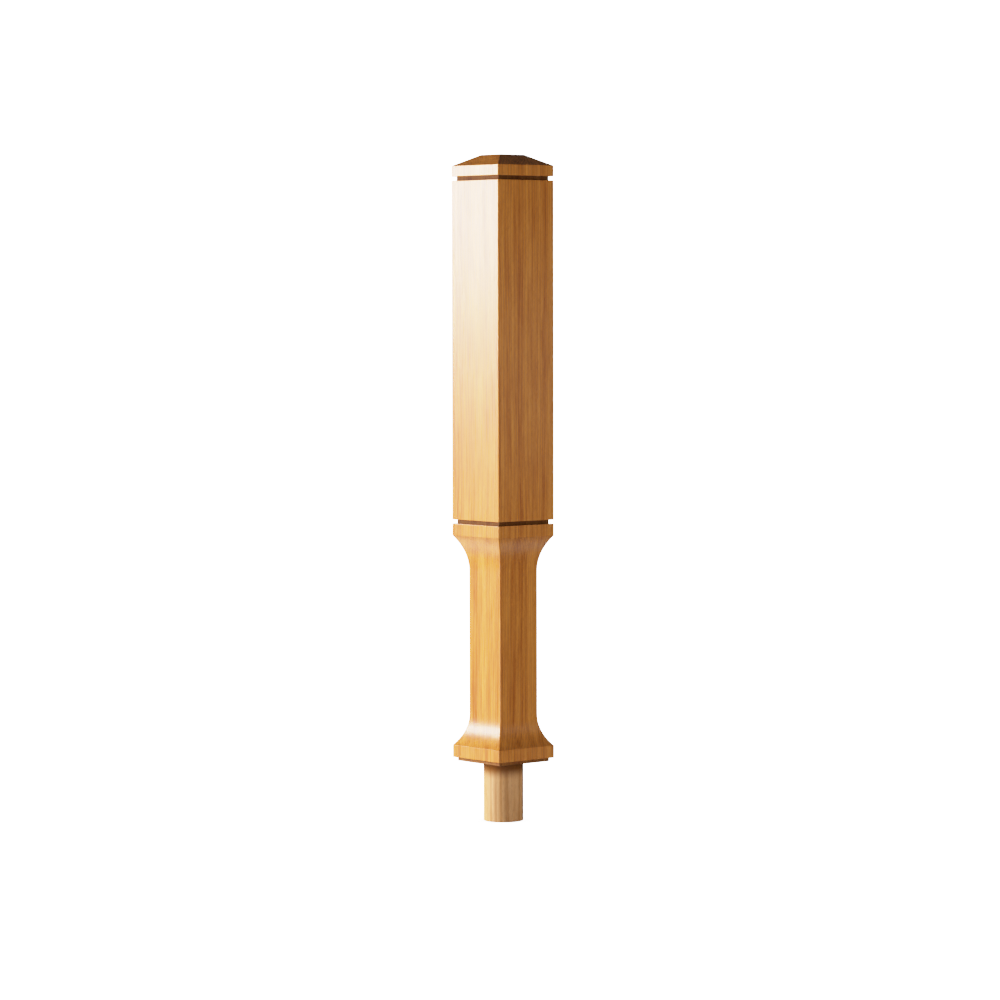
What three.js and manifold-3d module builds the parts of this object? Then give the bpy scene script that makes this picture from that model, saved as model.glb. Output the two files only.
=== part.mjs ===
// A square timber newel post with a round dowel spigot glued into its foot.
// Millimetres, +Z up, origin at the centre of the spigot's flat lower end.
// The post is one length of 91 mm square stock: hipped cap, grooved block, slim shaft between two
// coves, and a rebated foot. Every moulding runs round all four faces and meets at the arrises.

import * as THREE from 'three';
import { mergeVertices } from 'three/addons/utils/BufferGeometryUtils.js';
import Module from 'manifold-3d';

// Driving dimensions of the post, with heights counted from the underside of the foot
const stockWidth = 91;
const postHeight = 762;
const lowerPartHeight = 305;
const blockHeight = 425;
const shaftWidth = 61;
const lowerCoveRadius = 60;
const upperCoveRadius = 74;
const footRebateHeight = 4.5;
const footBandHeight = 15.5;
const upperBandHeight = 15;
const grooveHeight = 5;
const grooveDepth = 4.5;
const capBandHeight = 13.5;
const flatTopWidth = 39;
const arrisRadius = 1.2;

// Driving dimensions of the spigot and its socket
const spigotDiameter = 50;
const spigotShowing = 75;
const spigotHidden = 75;
const spigotChamfer = 1;
const glueLine = 0.3;

// Fineness of the curved surfaces
const arrisSteps = 3;
const coveDivisions = 6;
const spigotSides = 48;

const halfStock = stockWidth / 2;
const halfShaft = shaftWidth / 2;
const halfGroove = halfStock - grooveDepth;

// The angle that a cove of a given radius turns through, from a band's face in to the shaft
function coveSweep(radius) {
  return Math.acos(1 - (halfStock - halfShaft) / radius);
}

// Half of the post's outline in a vertical plane across its faces: x is the distance from the
// axis to a face, y the height over the foot's underside
function postOutline() {
  const footBandTop = footRebateHeight + footBandHeight;
  const upperBandFoot = lowerPartHeight - grooveHeight - upperBandHeight;
  const lowerSweep = coveSweep(lowerCoveRadius);
  const upperSweep = coveSweep(upperCoveRadius);
  const lowerCoveTop = footBandTop + lowerCoveRadius * Math.sin(lowerSweep);
  const upperCoveFoot = upperBandFoot - upperCoveRadius * Math.sin(upperSweep);
  const lowerAxis = halfShaft + lowerCoveRadius;
  const upperAxis = halfShaft + upperCoveRadius;
  const blockTop = lowerPartHeight + blockHeight;
  const capFoot = blockTop + grooveHeight;

  const outline = new THREE.Path();
  outline.moveTo(0, 0);
  outline.lineTo(halfGroove, 0);
  outline.lineTo(halfGroove, footRebateHeight);
  outline.lineTo(halfStock, footRebateHeight);
  outline.lineTo(halfStock, footBandTop);
  outline.absarc(lowerAxis, lowerCoveTop, lowerCoveRadius, Math.PI + lowerSweep, Math.PI, true);
  outline.lineTo(halfShaft, upperCoveFoot);
  outline.absarc(upperAxis, upperCoveFoot, upperCoveRadius, Math.PI, Math.PI - upperSweep, true);
  outline.lineTo(halfStock, lowerPartHeight - grooveHeight);
  outline.lineTo(halfGroove, lowerPartHeight - grooveHeight);
  outline.lineTo(halfGroove, lowerPartHeight);
  outline.lineTo(halfStock, lowerPartHeight);
  outline.lineTo(halfStock, blockTop);
  outline.lineTo(halfGroove, blockTop);
  outline.lineTo(halfGroove, capFoot);
  outline.lineTo(halfStock, capFoot);
  outline.lineTo(halfStock, capFoot + capBandHeight);
  outline.lineTo(flatTopWidth / 2, postHeight);
  outline.lineTo(0, postHeight);
  return outline.getPoints(coveDivisions);
}

// Works an outline round a square: the lathe gives the rings of points, and each ring is moved
// from its circle on to a square whose four arrises are eased by a small radius
function squareTurning(outline) {
  const pointsPerCorner = arrisSteps + 1;
  const columns = 4 * pointsPerCorner;
  const geometry = new THREE.LatheGeometry(outline, columns);
  const position = geometry.attributes.position;
  for (let column = 0; column <= columns; column += 1) {
    const corner = Math.floor(column / pointsPerCorner);
    const step = column % pointsPerCorner;
    const diagonal = (corner + 0.5) * Math.PI / 2;
    const angle = (corner + step / arrisSteps) * Math.PI / 2;
    for (let ring = 0; ring < outline.length; ring += 1) {
      const halfWidth = outline[ring].x;
      const easing = Math.min(arrisRadius, halfWidth);
      const centre = halfWidth - easing;
      const x = Math.sign(Math.sin(diagonal)) * centre + Math.sin(angle) * easing;
      const z = Math.sign(Math.cos(diagonal)) * centre + Math.cos(angle) * easing;
      position.setXYZ(column * outline.length + ring, x, outline[ring].y, z);
    }
  }
  geometry.rotateX(Math.PI / 2);
  return geometry;
}

// A round rod standing on the origin, with its two end edges chamfered
function chamferedRod(diameter, length, chamfer) {
  const section = new THREE.Shape();
  section.absarc(0, 0, diameter / 2, 0, 2 * Math.PI, false);
  const geometry = new THREE.ExtrudeGeometry(section, {
    depth: length - 2 * chamfer,
    curveSegments: spigotSides / 2,
    bevelEnabled: chamfer > 0,
    bevelThickness: chamfer,
    bevelSize: chamfer,
    bevelOffset: -chamfer,
    bevelSegments: 1,
  });
  geometry.translate(0, 0, chamfer);
  return geometry;
}

const wasm = await Module();
wasm.setup();

// A closed solid for cutting, from a geometry whose points are merged and whose triangles that
// have no area, such as those at a lathe's poles, are left out
function toSolid(geometry) {
  const bare = geometry.clone();
  bare.deleteAttribute('normal');
  bare.deleteAttribute('uv');
  const merged = mergeVertices(bare, 1e-4);
  const corners = merged.index.array;
  const kept = [];
  for (let i = 0; i < corners.length; i += 3) {
    const [a, b, c] = corners.slice(i, i + 3);
    if (a !== b && b !== c && c !== a) {
      kept.push(a, b, c);
    }
  }
  const mesh = new wasm.Mesh({
    numProp: 3,
    vertProperties: new Float32Array(merged.attributes.position.array),
    triVerts: new Uint32Array(kept),
  });
  return new wasm.Manifold(mesh);
}

function toGeometry(solid) {
  const mesh = solid.getMesh();
  const geometry = new THREE.BufferGeometry();
  geometry.setAttribute('position', new THREE.BufferAttribute(mesh.vertProperties, 3));
  geometry.setIndex(new THREE.BufferAttribute(mesh.triVerts, 1));
  geometry.computeVertexNormals();
  return geometry;
}

// The post, with the blind socket for the dowel drilled up into its foot
function newelPost() {
  const post = toSolid(squareTurning(postOutline()));
  const drill = chamferedRod(spigotDiameter + 2 * glueLine, 2 * (spigotHidden + glueLine), 0);
  drill.translate(0, 0, -(spigotHidden + glueLine));
  return toGeometry(post.subtract(toSolid(drill)));
}

const lacqueredTimber = new THREE.MeshStandardMaterial({
  color: new THREE.Color(0.72, 0.48, 0.24),
  roughness: 0.35,
  metalness: 0,
});

const bareTimber = new THREE.MeshStandardMaterial({
  color: new THREE.Color(0.80, 0.63, 0.45),
  roughness: 0.8,
  metalness: 0,
});

const post = new THREE.Mesh(newelPost(), lacqueredTimber);
post.name = 'newel_post';
post.position.z = spigotShowing;

const rodLength = spigotShowing + spigotHidden;
const spigot = new THREE.Mesh(chamferedRod(spigotDiameter, rodLength, spigotChamfer), bareTimber);
spigot.name = 'dowel_spigot';

const newel = new THREE.Group();
newel.add(post, spigot);

export default newel;
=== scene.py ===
"""A lacquered square newel post on its bare dowel spigot, in plain soft studio light."""

import math

import bpy
from mathutils import Matrix, Vector


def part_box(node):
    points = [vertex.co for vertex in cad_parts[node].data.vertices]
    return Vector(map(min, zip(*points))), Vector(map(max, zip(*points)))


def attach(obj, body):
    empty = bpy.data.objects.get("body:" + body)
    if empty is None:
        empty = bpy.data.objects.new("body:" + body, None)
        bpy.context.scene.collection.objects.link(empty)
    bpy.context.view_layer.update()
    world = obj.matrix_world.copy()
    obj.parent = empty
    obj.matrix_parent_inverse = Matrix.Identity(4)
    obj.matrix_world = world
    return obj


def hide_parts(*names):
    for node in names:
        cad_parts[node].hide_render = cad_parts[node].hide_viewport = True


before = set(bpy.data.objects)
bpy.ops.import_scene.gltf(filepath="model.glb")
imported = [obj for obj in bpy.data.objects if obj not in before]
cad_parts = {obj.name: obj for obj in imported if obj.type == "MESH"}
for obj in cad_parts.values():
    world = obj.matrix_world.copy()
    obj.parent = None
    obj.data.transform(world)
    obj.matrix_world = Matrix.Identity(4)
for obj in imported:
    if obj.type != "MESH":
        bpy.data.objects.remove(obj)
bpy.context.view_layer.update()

MM = 0.001

# The two solids' own boxes give the places, the post's width and the rod's radius
POST_LOW, POST_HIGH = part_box("newel_post")
ROD_LOW, ROD_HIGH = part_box("dowel_spigot")
FOOT_Z = POST_LOW.z
POST_HEIGHT = POST_HIGH.z - POST_LOW.z
HALF_STOCK = POST_HIGH.x
ROD_RADIUS = ROD_HIGH.x

# Profile of the post, in metres, with heights counted from the underside of the foot
HALF_SHAFT = 30.5 * MM
GROOVE_DEPTH = 4.5 * MM
HALF_GROOVE = HALF_STOCK - GROOVE_DEPTH
HALF_FLAT_TOP = 19.5 * MM
LOWER_COVE_RADIUS = 60 * MM
UPPER_COVE_RADIUS = 74 * MM
REBATE = (0.0, 4.5 * MM)
FOOT_BAND_TOP = 20 * MM
UPPER_BAND_FOOT = 285 * MM
LOWER_GROOVE = (300 * MM, 305 * MM)
UPPER_GROOVE = (730 * MM, 735 * MM)
CAP_BAND_TOP = 748.5 * MM

# The blind socket in the foot, a gap of glue wider and deeper than the rod's end
GLUE_GAP = 0.3 * MM
SOCKET_DEPTH = ROD_HIGH.z - FOOT_Z + GLUE_GAP
SOCKET_RADIUS = ROD_RADIUS + GLUE_GAP

# Softened edges: the long arrises, the outer edges of the mouldings, their inner corners, the rod
ARRIS_RADIUS = 1.2 * MM
EDGE_EASE = 0.7 * MM
INNER_EASE = 0.3 * MM
ROD_EASE = 1.0 * MM

# The most of a flat that an easing takes, and how far past the easing a point holds the flat
EASED_SHARE = 0.4
HOLD = 0.5 * MM

# The camera stands above the middle of the post, out from its near arris, and looks a little
# down. Its distances and heights are in metres.
VIEW_AZIMUTH = math.radians(49.70)
VIEW_PITCH = math.radians(3.03)
VIEW_ROLL = math.radians(-0.098)
VIEW_DISTANCE = 4.788
VIEW_HEIGHT = 0.658
VIEW_SIDESTEP = -0.0038
VIEW_REACH = 50
FOCAL_PIXELS = 3813
FRAME_PIXELS = 1000
SENSOR_MM = 36

# The floor and the room: their brightness as the camera sees them, the share of it that is left
# close under the post by the floor's painted contact shadow and how far out that goes, the floor's
# half width in metres, its own grey, and the room's light on the post
WHITE = 5.0
CONTACT_SHADE = 0.45
CONTACT_REACH = 0.1
FLOOR_REACH = 30
FLOOR_GREY = 0.5
ROOM_LIGHT = 0.04

# Height in metres of the cards that lie on the floor
FLOOR_CARD_HEIGHT = 0.005

# A print's tone curve, straight up to the middle and then with a long shoulder up to white, the
# brightness that it reaches to, and its place among the picture's curves, after one per colour
TONE_CURVE = (
    (0.0, 0.0),
    (0.45, 0.45),
    (0.75, 0.635),
    (1.0, 0.745),
    (1.4, 0.84),
    (2.0, 0.90),
    (4.0, 1.0),
)
TONE_REACH = 6
SHARED_CURVE = 3

# Two timbers. Lengths are in millimetres and colours are linear. Each board has its own pith,
# given as an angle in degrees and a distance from the post's axis, and its own tone. Boards bend
# slowly along their length, and their rings waver from place to place. The contrasts say how much
# darker summer growth and broad bands are. Painted shade darkens the cuts, and a painted shadow
# the bare rod's root under the foot, each from one height to another and by some amount, towards
# a shade colour: their heights are in metres, and the fade at their ends is in millimetres.
LACQUERED = {
    "spring": (0.79, 0.290, 0.050),
    "summer": (0.415, 0.108, 0.011),
    "pore": (0.24, 0.055, 0.008),
    "seams": (-13.6, 9.9),
    "pith": ((236, 210), (222, 250), (250, 170)),
    "tone": (0.02, 0.03, -0.05),
    "bend": 9.0,
    "waver": 4.2,
    "ring": 3.0,
    "ring_contrast": 0.28,
    "band_contrast": 1.4,
    # painted shade in the rebate and the two grooves
    "painted_shade": ((*REBATE, 0.62), (*LOWER_GROOVE, 0.8), (*UPPER_GROOVE, 0.8)),
    "shade_fade": 0.3,
    "shade_colour": (0.0, 0.0, 0.0),
    "end_grain": 0.80,
    "roughness": (0.25, 0.33),
    "ior": 1.5,
    "bump": 0.2,
}
BARE = {
    "spring": (0.86, 0.445, 0.185),
    "summer": (0.50, 0.195, 0.048),
    "pore": (0.30, 0.11, 0.03),
    "seams": (),
    "pith": ((171, 68.8),),
    "tone": (0.0,),
    "bend": 3.0,
    "waver": 2.4,
    "ring": 4.0,
    "ring_contrast": 0.6,
    "band_contrast": 1.0,
    # painted shadow on the rod's root, under the foot's overhang
    "painted_shade": ((-14.3 * MM, 14.3 * MM, 1.0),),
    "shade_fade": 16.0,
    "shade_colour": (0.16, 0.050, 0.004),
    "end_grain": 0.85,
    "roughness": (0.40, 0.50),
    "ior": 1.6,
    "bump": 0.7,
}

# Sizes of the grain in both timbers, in millimetres: two ways across the piece, and along it
WAVER_SIZE = (16, 16, 170)
BAND_SIZE = (14, 7, 1400)
STREAK_SIZE = (3.4, 24, 60)
FIBRE_SIZE = (0.9, 0.9, 60)
THREAD_SIZE = (0.3, 0.3, 20)
PORE_SIZE = (0.3, 0.3, 6)

# How a board bends each way across: the place in the noise that it follows, and the length of a
# bend in millimetres
BEND_X = (2.1, 0.0, 300)
BEND_Y = (5.9, 3.0, 340)

# How much further on in the noise each next board lies, so that no two are alike, and the value
# that the noise has on the whole
BOARD_SHIFT = 7.3
NOISE_MEAN = 0.5

# Rings: how many they drift by and over how many millimetres, where in a ring's width the summer
# growth sets in and where it ends, and how much of it there is on the whole
RING_DRIFT = 2.0
RING_DRIFT_SIZE = 14
SUMMER_ONSET = (0.1, 0.7)
SUMMER_END = (0.75, 1.0)
SUMMER_MEAN = 0.4

# Depth of colour, from spring growth at 0 to summer growth at 1: the middle, and what the grain
# adds to it or takes off
DEPTH_MEAN = 0.43
STREAK_DEPTH = 1.1
FIBRE_DEPTH = 0.8
THREAD_DEPTH = 0.2

# Pores open where their noise passes from the first level to the second, and less so in summer
# growth. They take a share of their own colour and are rougher than the timber round them.
PORE_LEVELS = (0.62, 0.70)
PORE_SPARING = 0.1
PORE_DEPTH = 0.55
PORE_ROUGHNESS = 0.1

# Glue lines, with the distances in millimetres at which they start to fade and are gone
GLUE_LINE = (0.15, 0.5)
GLUE_DEPTH = 0.4

# Painted shade: how far in from the faces it sets in and is full, in millimetres, and how much
# rougher the timber is made where it lies
SHADE_INSET = (0.4, 2.4)
SHADE_ROUGHNESS = 0.6

# Fibres are glossy at one end of this range and dull at the other
FIBRE_RANGE = (-0.3, 0.3)

# Relief: its full height in metres, and each part's share of it
RELIEF = 0.05 * MM
THREAD_RELIEF = 0.5
SUMMER_RELIEF = 0.2
PORE_RELIEF = 0.8
GLUE_RELIEF = 0.8


def cove(radius, band_edge, way, steps=24):
    """Points of a cove from a band's edge in to the shaft, going up (way 1) or down (way -1)."""
    sweep = math.acos(1 - (HALF_STOCK - HALF_SHAFT) / radius)
    points = []
    for i in range(steps + 1):
        angle = sweep * (1 - i / steps)
        across = HALF_SHAFT + radius * (1 - math.cos(angle))
        along = radius * (math.sin(sweep) - math.sin(angle))
        points.append((across, band_edge + way * along))
    return points


def groove(low, high):
    """A square groove's four corners, each with its easing."""
    return [
        (HALF_STOCK, low, EDGE_EASE),
        (HALF_GROOVE, low, INNER_EASE),
        (HALF_GROOVE, high, INNER_EASE),
        (HALF_STOCK, high, EDGE_EASE),
    ]


def post_outline():
    """Half of the post's section: (distance from axis to face, height, easing of that corner)."""
    lower_cove = cove(LOWER_COVE_RADIUS, FOOT_BAND_TOP, 1)
    upper_cove = cove(UPPER_COVE_RADIUS, UPPER_BAND_FOOT, -1)[::-1]
    foot, rebate_top = REBATE
    corners = [
        (HALF_GROOVE, foot, EDGE_EASE),
        (HALF_GROOVE, rebate_top, INNER_EASE),
        (HALF_STOCK, rebate_top, EDGE_EASE),
    ]
    corners += [(*lower_cove[0], EDGE_EASE)]
    corners += [(*point, 0) for point in lower_cove[1:] + upper_cove[:-1]]
    corners += [(*upper_cove[-1], EDGE_EASE)]
    corners += groove(*LOWER_GROOVE) + groove(*UPPER_GROOVE)
    corners += [(HALF_STOCK, CAP_BAND_TOP, EDGE_EASE), (HALF_FLAT_TOP, POST_HEIGHT, EDGE_EASE)]
    return corners


def ease_corners(corners, first, last, steps=4):
    """Rounds each corner by its own radius, and holds the flats beside it with one more point."""
    path = [first] + [Vector(corner[:2]) for corner in corners] + [last]
    points = []
    for i, corner in enumerate(corners):
        before, here, after = path[i], path[i + 1], path[i + 2]
        easing = corner[2]
        if easing == 0:
            points.append(here)
            continue
        back, on = before - here, after - here
        reach = easing / math.tan(back.angle(on) / 2)
        reach = min(reach, EASED_SHARE * back.length, EASED_SHARE * on.length)
        start = here + back.normalized() * reach
        end = here + on.normalized() * reach
        if back.length > 2 * (reach + HOLD):
            points.append(start + back.normalized() * HOLD)
        for k in range(steps + 1):
            share = k / steps
            points.append(start.lerp(here, share).lerp(here.lerp(end, share), share))
        if on.length > 2 * (reach + HOLD):
            points.append(end + on.normalized() * HOLD)
    return points


def square_ring(half, ease, face_steps=10, arris_steps=5):
    """One ring of points round a square with eased arrises, starting on the +X face."""
    flat = half - ease
    inner = flat - HOLD
    side = [-flat] + [inner * (2 * i / face_steps - 1) for i in range(face_steps + 1)]
    ring = []
    for quarter in range(4):
        cosine, sine = math.cos(quarter * math.pi / 2), math.sin(quarter * math.pi / 2)
        local = [(half, y) for y in side]
        for k in range(arris_steps):
            angle = k / arris_steps * math.pi / 2
            local.append((flat + ease * math.cos(angle), flat + ease * math.sin(angle)))
        ring += [(x * cosine - y * sine, x * sine + y * cosine) for x, y in local]
    return ring


def joined_rings(name, rings):
    """A closed smooth body through rings that hold the same number of points, with flat ends."""
    count = len(rings[0])
    top = (len(rings) - 1) * count
    verts = [point for ring in rings for point in ring]
    faces = [tuple(reversed(range(count))), tuple(range(top, top + count))]
    for low in range(0, top, count):
        for i in range(count):
            j = (i + 1) % count
            faces.append((low + i, low + j, low + count + j, low + count + i))
    mesh = bpy.data.meshes.new(name)
    mesh.from_pydata(verts, [], faces)
    mesh.polygons.foreach_set("use_smooth", [True] * len(faces))
    body = bpy.data.objects.new(name, mesh)
    bpy.context.scene.collection.objects.link(body)
    return body


def build_post():
    """The post, whose first two rings are the end and the mouth of the dowel's socket."""
    mouth = []
    for x, y in square_ring(SOCKET_RADIUS, ARRIS_RADIUS):
        scale = SOCKET_RADIUS / math.hypot(x, y)
        mouth.append((x * scale, y * scale, FOOT_Z))
    rings = [[(x, y, FOOT_Z + SOCKET_DEPTH) for x, y, z in mouth], mouth]
    for half, height in ease_corners(post_outline(), Vector((0, 0)), Vector((0, POST_HEIGHT))):
        rings.append([(x, y, FOOT_Z + height) for x, y in square_ring(half, ARRIS_RADIUS)])
    return joined_rings("lacquered_post", rings)


def build_spigot(sides=96):
    """The round rod, half of it in the socket, with both its ends eased."""
    corners = [(ROD_RADIUS, ROD_LOW.z, ROD_EASE), (ROD_RADIUS, ROD_HIGH.z, ROD_EASE)]
    turns = [2 * math.pi * i / sides for i in range(sides)]
    rings = []
    for radius, height in ease_corners(corners, Vector((0, ROD_LOW.z)), Vector((0, ROD_HIGH.z))):
        rings.append([(radius * math.cos(turn), radius * math.sin(turn), height) for turn in turns])
    return joined_rings("turned_spigot", rings)


class Value:
    """A number that a shader's nodes work out, which can be added, multiplied and so on."""

    def __init__(self, shader, socket):
        self.shader = shader
        self.socket = socket

    def __add__(self, other):
        return self.shader.math("ADD", self, other)

    def __sub__(self, other):
        return self.shader.math("SUBTRACT", self, other)

    def __rsub__(self, other):
        return self.shader.math("SUBTRACT", other, self)

    def __mul__(self, other):
        return self.shader.math("MULTIPLY", self, other)

    def __truediv__(self, other):
        return self.shader.math("DIVIDE", self, other)

    def __abs__(self):
        return self.shader.math("ABSOLUTE", self)

    __radd__ = __add__
    __rmul__ = __mul__


class Shader:
    """Short forms for making and joining the nodes of one material."""

    # Places of a mix node's colour sockets, which share their names with its other sockets
    COLOUR_A = 6
    COLOUR_B = 7
    COLOUR_RESULT = 2

    def __init__(self, name):
        self.material = bpy.data.materials.new(name)
        self.material.use_nodes = True
        self.tree = self.material.node_tree
        self.tree.nodes.clear()

    def node(self, kind, **settings):
        made = self.tree.nodes.new(kind)
        for key, value in settings.items():
            setattr(made, key, value)
        return made

    def put(self, socket, value):
        if isinstance(value, Value):
            self.tree.links.new(value.socket, socket)
        else:
            socket.default_value = value

    def math(self, operation, a, b=0.0):
        made = self.node("ShaderNodeMath", operation=operation)
        self.put(made.inputs[0], a)
        self.put(made.inputs[1], b)
        return Value(self, made.outputs[0])

    def coordinates(self, kind):
        """The three parts of the piece's own coordinates, or of its own normal."""
        made = self.node("ShaderNodeSeparateXYZ")
        self.tree.links.new(self.node("ShaderNodeTexCoord").outputs[kind], made.inputs[0])
        return [Value(self, output) for output in made.outputs]

    def noise(self, x, y=0.0, z=0.0, detail=1.0):
        point = self.node("ShaderNodeCombineXYZ")
        for socket, value in zip(point.inputs, (x, y, z)):
            self.put(socket, value)
        made = self.node("ShaderNodeTexNoise")
        self.tree.links.new(point.outputs[0], made.inputs["Vector"])
        self.put(made.inputs["Scale"], 1.0)
        self.put(made.inputs["Detail"], detail)
        return Value(self, made.outputs["Fac"])

    def spread(self, value, low, high, to_low=0.0, to_high=1.0):
        """Carries one range over to another with soft ends."""
        made = self.node("ShaderNodeMapRange", interpolation_type="SMOOTHSTEP")
        for socket, part in zip(made.inputs, (value, low, high, to_low, to_high)):
            self.put(socket, part)
        return Value(self, made.outputs[0])

    def mix(self, factor, a, b):
        made = self.node("ShaderNodeMix", data_type="RGBA")
        self.put(made.inputs["Factor"], factor)
        for place, colour in ((self.COLOUR_A, a), (self.COLOUR_B, b)):
            self.put(made.inputs[place], colour if isinstance(colour, Value) else (*colour, 1))
        return Value(self, made.outputs[self.COLOUR_RESULT])

    def shade(self, colour, factor):
        """A colour made darker by a factor that differs from point to point."""
        made = self.node("ShaderNodeVectorMath", operation="SCALE")
        self.put(made.inputs[0], colour)
        self.put(made.inputs["Scale"], factor)
        return Value(self, made.outputs["Vector"])

    def finish(self, surface):
        out = self.node("ShaderNodeOutputMaterial")
        self.tree.links.new(surface, out.inputs["Surface"])
        return self.material


def painted_shade_part(nodes, x, y, z, recipe):
    """How much painted shade a point gets: 0 on the faces, and the cut's full amount a little way
    in.
    """
    inset = HALF_STOCK / MM - nodes.math("MAXIMUM", abs(x), abs(y))
    fade = recipe["shade_fade"]
    amount = 0.0
    for low, high, full in recipe["painted_shade"]:
        middle = (FOOT_Z + (low + high) / 2) / MM
        half = (high - low) / 2 / MM
        start, end = half - fade / 2, half + fade / 2
        amount = amount + nodes.spread(abs(z - middle), start, end, full, 0.0)
    return amount * nodes.spread(inset, *SHADE_INSET)


def timber(name, recipe):
    """Straight-grained timber in the solid: boards, growth rings, fibres and pores up the piece."""
    nodes = Shader(name)
    x, y, z = [part / MM for part in nodes.coordinates("Object")]

    # boards glued side by side: 1 past each seam, and a thin dark line on it
    past = [nodes.math("GREATER_THAN", y, seam) for seam in recipe["seams"]]
    glue = 0.0
    for seam in recipe["seams"]:
        glue = glue + nodes.spread(abs(y - seam), *GLUE_LINE, 1.0, 0.0)

    def by_board(values):
        """The value of the board that a point lies in, out of one for each board."""
        result = values[0]
        for beyond, before, after in zip(past, values, values[1:]):
            result = result + beyond * (after - before)
        return result

    board = by_board([BOARD_SHIFT * i for i in range(len(recipe["pith"]))])
    pith_x = by_board([r * math.cos(math.radians(a)) for a, r in recipe["pith"]])
    pith_y = by_board([r * math.sin(math.radians(a)) for a, r in recipe["pith"]])

    def bend(shift, start, length):
        """How far a board has bent to one side at a point's height."""
        return recipe["bend"] * nodes.noise(board + shift, start, z / length)

    def grain(size, place=(x, y, z), shift=0.0, detail=1.0):
        """Noise in patches of a given size, read elsewhere where there is a shift."""
        across, other, along = [part / span for part, span in zip(place, size)]
        return nodes.noise(across + shift, other, along, detail)

    # growth rings round each board's pith, with the boards bent a little along their length
    across_x = x - pith_x + bend(*BEND_X)
    across_y = y - pith_y + bend(*BEND_Y)
    waver = recipe["waver"] * grain(WAVER_SIZE, detail=2.0)
    distance = nodes.math("SQRT", across_x * across_x + across_y * across_y) + waver
    drift = RING_DRIFT * nodes.noise(distance / RING_DRIFT_SIZE, board)
    phase = nodes.math("FRACT", distance / recipe["ring"] + drift)
    summer = nodes.spread(phase, *SUMMER_ONSET) * nodes.spread(phase, *SUMMER_END, 1.0, 0.0)

    # streaks of fibre, from a finger wide to a hair wide, and the open pores of the spring growth
    band = grain(BAND_SIZE, (across_x, across_y, z), board, detail=2.0) - NOISE_MEAN
    streak = grain(STREAK_SIZE, (distance, x - y, z), board, detail=2.0) - NOISE_MEAN
    fibre = grain(FIBRE_SIZE, detail=2.0) - NOISE_MEAN
    thread = grain(THREAD_SIZE) - NOISE_MEAN
    pores = nodes.spread(grain(PORE_SIZE) - PORE_SPARING * summer, *PORE_LEVELS)

    depth = DEPTH_MEAN + by_board(recipe["tone"])
    depth = depth + recipe["ring_contrast"] * (summer - SUMMER_MEAN)
    depth = depth + recipe["band_contrast"] * band
    depth = depth + STREAK_DEPTH * streak + FIBRE_DEPTH * fibre + THREAD_DEPTH * thread
    colour = nodes.mix(depth, recipe["spring"], recipe["summer"])
    colour = nodes.mix(PORE_DEPTH * pores, colour, recipe["pore"])
    colour = nodes.mix(GLUE_DEPTH * glue, colour, recipe["pore"])

    # end grain, facing up or down, drinks the finish and darkens, and this darkening also stands in
    # for part of the shade on the bevels and coves
    level = abs(nodes.coordinates("Normal")[2])
    painted_shade = painted_shade_part(nodes, x, y, z, recipe)
    colour = nodes.shade(colour, nodes.spread(level, 0.0, 1.0, 1.0, recipe["end_grain"]))
    # painted shade in the cuts and painted shadow at the rod's root, mixed towards their shade
    # colour
    colour = nodes.mix(painted_shade, colour, recipe["shade_colour"])

    # fibres and pores stand or sink by hundredths of a millimetre under the finish
    raised = THREAD_RELIEF * thread + SUMMER_RELIEF * summer
    bump = nodes.node("ShaderNodeBump")
    bump.inputs["Strength"].default_value = recipe["bump"]
    bump.inputs["Distance"].default_value = RELIEF
    nodes.put(bump.inputs["Height"], raised - PORE_RELIEF * pores - GLUE_RELIEF * glue)

    sheen = nodes.spread(fibre, *FIBRE_RANGE, *recipe["roughness"])
    roughness = sheen + PORE_ROUGHNESS * pores + SHADE_ROUGHNESS * painted_shade
    surface = nodes.node("ShaderNodeBsdfPrincipled")
    nodes.put(surface.inputs["Base Color"], colour)
    nodes.put(surface.inputs["Roughness"], roughness)
    nodes.tree.links.new(bump.outputs[0], surface.inputs["Normal"])
    surface.inputs["IOR"].default_value = recipe["ior"]
    return nodes.finish(surface.outputs[0])


def direction(azimuth):
    """Level unit vector from the post towards an azimuth counted from -Y round to +X."""
    return Vector((math.sin(azimuth), -math.cos(azimuth), 0))


def place_camera():
    """Stands the camera at its azimuth and distance, and turns it down and round."""
    towards = direction(VIEW_AZIMUTH)
    level_right = Vector((math.cos(VIEW_AZIMUTH), math.sin(VIEW_AZIMUTH), 0))
    ahead = -towards * math.cos(VIEW_PITCH) - Vector((0, 0, math.sin(VIEW_PITCH)))
    level_up = level_right.cross(ahead)
    right = level_right * math.cos(VIEW_ROLL) + level_up * math.sin(VIEW_ROLL)
    up = level_up * math.cos(VIEW_ROLL) - level_right * math.sin(VIEW_ROLL)
    spot = towards * VIEW_DISTANCE + level_right * VIEW_SIDESTEP + Vector((0, 0, VIEW_HEIGHT))
    data = bpy.data.cameras.new("camera")
    data.sensor_width = SENSOR_MM
    data.lens = FOCAL_PIXELS / FRAME_PIXELS * SENSOR_MM
    data.clip_end = VIEW_REACH
    camera = bpy.data.objects.new("camera", data)
    turn = Matrix((right, up, -ahead)).transposed().to_4x4()
    camera.matrix_world = Matrix.Translation(spot) @ turn
    bpy.context.scene.collection.objects.link(camera)
    bpy.context.scene.camera = camera


def softbox(name, azimuth, distance, height, size, power, facing=None):
    """An area light that faces the post's axis, or another way that it is given."""
    data = bpy.data.lights.new(name, "AREA")
    data.shape = "RECTANGLE"
    data.size, data.size_y = size
    data.energy = power
    lamp = bpy.data.objects.new(name, data)
    out = direction(math.radians(azimuth))
    back = out if facing is None else -facing
    turn = back.to_track_quat("Z", "Y").to_matrix().to_4x4()
    lamp.matrix_world = Matrix.Translation(out * distance + Vector((0, 0, height))) @ turn
    lamp.visible_camera = False
    bpy.context.scene.collection.objects.link(lamp)
    return lamp


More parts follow.
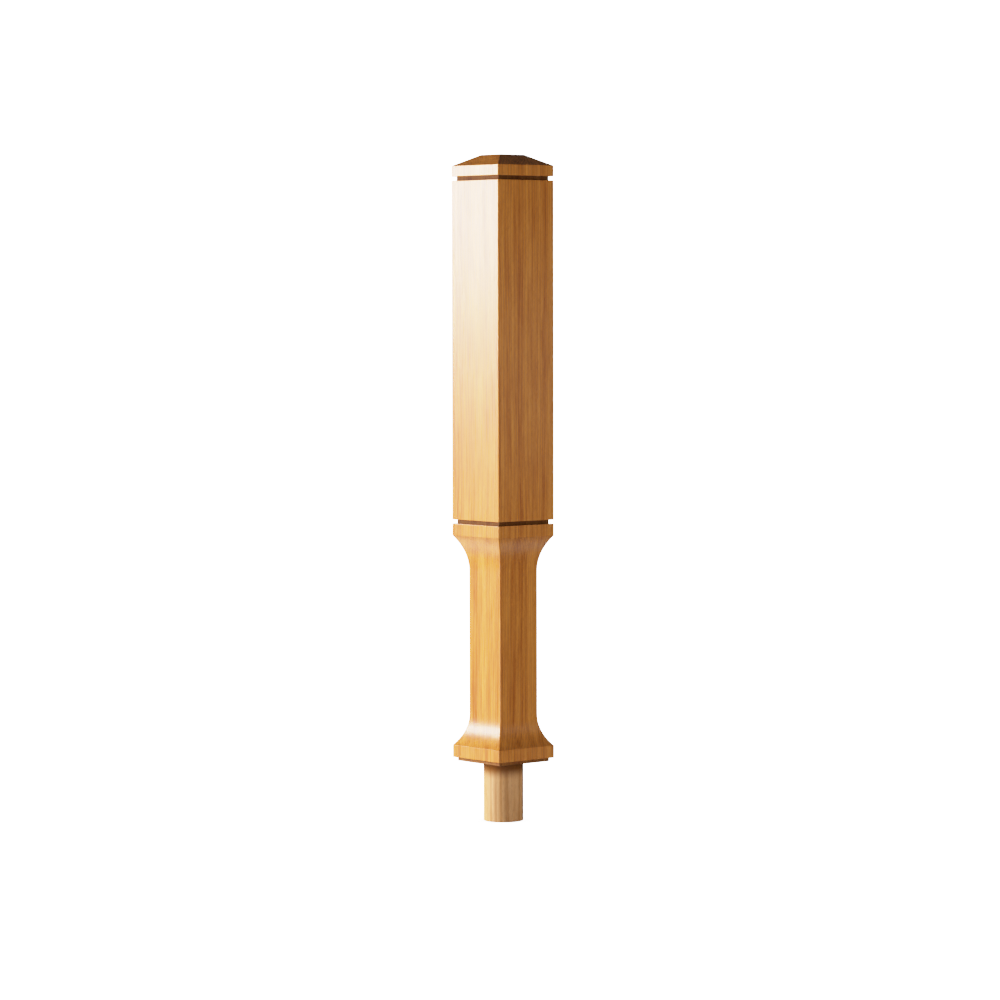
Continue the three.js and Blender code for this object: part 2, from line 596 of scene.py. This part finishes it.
def pale_floor():
    """A pale floor that the camera sees as white, greyed a little close under the post by a painted
    contact shadow.
    """
    corners = [(-1, -1), (1, -1), (1, 1), (-1, 1)]
    verts = [(x * FLOOR_REACH, y * FLOOR_REACH, 0) for x, y in corners]
    mesh = bpy.data.meshes.new("floor")
    mesh.from_pydata(verts, [], [(0, 1, 2, 3)])
    floor = bpy.data.objects.new("floor", mesh)
    floor.visible_glossy = False
    bpy.context.scene.collection.objects.link(floor)

    nodes = Shader("pale floor")
    diffuse = nodes.node("ShaderNodeBsdfDiffuse")
    diffuse.inputs["Color"].default_value = (FLOOR_GREY, FLOOR_GREY, FLOOR_GREY, 1)
    occlusion = nodes.node("ShaderNodeAmbientOcclusion", samples=16)
    occlusion.inputs["Distance"].default_value = CONTACT_REACH
    openness = Value(nodes, occlusion.outputs["AO"])
    glow = nodes.node("ShaderNodeEmission")
    # painted contact shadow: the floor's glow dims where the post closes it in
    strength = WHITE * (CONTACT_SHADE + (1 - CONTACT_SHADE) * openness)
    nodes.put(glow.inputs["Strength"], strength)
    seen = nodes.node("ShaderNodeLightPath").outputs["Is Camera Ray"]
    blend = nodes.node("ShaderNodeMixShader")
    for socket, source in zip(blend.inputs, (seen, diffuse.outputs[0], glow.outputs[0])):
        nodes.tree.links.new(source, socket)
    mesh.materials.append(nodes.finish(blend.outputs[0]))


def white_room():
    """A dim grey room, which the camera sees as white."""
    world = bpy.data.worlds.new("studio")
    world.use_nodes = True
    tree = world.node_tree
    tree.nodes.clear()
    blend = tree.nodes.new("ShaderNodeMixShader")
    path = tree.nodes.new("ShaderNodeLightPath")
    tree.links.new(path.outputs["Is Camera Ray"], blend.inputs[0])
    for socket, brightness in zip(blend.inputs[1:], (ROOM_LIGHT, WHITE)):
        background = tree.nodes.new("ShaderNodeBackground")
        background.inputs["Color"].default_value = (1, 1, 1, 1)
        background.inputs["Strength"].default_value = brightness
        tree.links.new(background.outputs[0], socket)
    out = tree.nodes.new("ShaderNodeOutputWorld")
    tree.links.new(blend.outputs[0], out.inputs["Surface"])
    bpy.context.scene.world = world


def light_post():
    """Lamps on both sides and behind. Two of them light the timber without showing in it."""
    softbox("left softbox", azimuth=-51.5, distance=2.9, height=0.97, size=(1.2, 0.67), power=75)
    wash = softbox("left wash", azimuth=-37, distance=2.2, height=0.5, size=(0.9, 0.8), power=99.5)
    fill = softbox("right fill", azimuth=92, distance=2.2, height=0.42, size=(0.7, 0.8), power=16.9)
    softbox("back softbox", azimuth=228, distance=2.4, height=0.5, size=(0.9, 0.8), power=45)
    for lamp in (wash, fill):
        lamp.visible_glossy = False


def place_cards():
    """Small cards that only show as reflections: two on the floor, for the hollows of the upper
    cove, one beside the right face and a low one in front of the spigot's left side."""
    up = Vector((0, 0, 1))
    cards = (
        softbox(
            "left floor card", azimuth=-60, distance=0.58, height=FLOOR_CARD_HEIGHT,
            size=(0.3, 0.3), power=0.92, facing=up,
        ),
        softbox(
            "right floor card", azimuth=142, distance=0.45, height=FLOOR_CARD_HEIGHT,
            size=(0.2, 0.2), power=0.15, facing=up,
        ),
        softbox("side card", azimuth=130, distance=1.3, height=0.54, size=(0.5, 0.34), power=0.4),
        softbox("low card", azimuth=-8, distance=0.6, height=0.1, size=(0.46, 0.18), power=1.6),
    )
    for card in cards:
        card.visible_diffuse = False


def set_tone():
    """Gives the picture the print's tone curve, which all three colours share."""
    view = bpy.context.scene.view_settings
    view.view_transform = "Standard"
    view.look = "None"
    view.exposure = 0
    view.gamma = 1
    view.use_curve_mapping = True
    mapping = view.curve_mapping
    mapping.use_clip = False
    mapping.clip_max_x = TONE_REACH
    points = mapping.curves[SHARED_CURVE].points
    points[0].location = TONE_CURVE[0]
    points[-1].location = TONE_CURVE[-1]
    for spot in TONE_CURVE[1:-1]:
        points.new(*spot)
    mapping.update()


post = build_post()
spigot = build_spigot()
post.data.materials.append(timber("lacquered timber", LACQUERED))
spigot.data.materials.append(timber("bare timber", BARE))

for piece, node, slot in (
    (post, "newel_post", "lacquered_timber"),
    (spigot, "dowel_spigot", "bare_timber"),
):
    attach(piece, "root")
    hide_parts(node)

place_camera()
pale_floor()
white_room()
light_post()
place_cards()
set_tone()
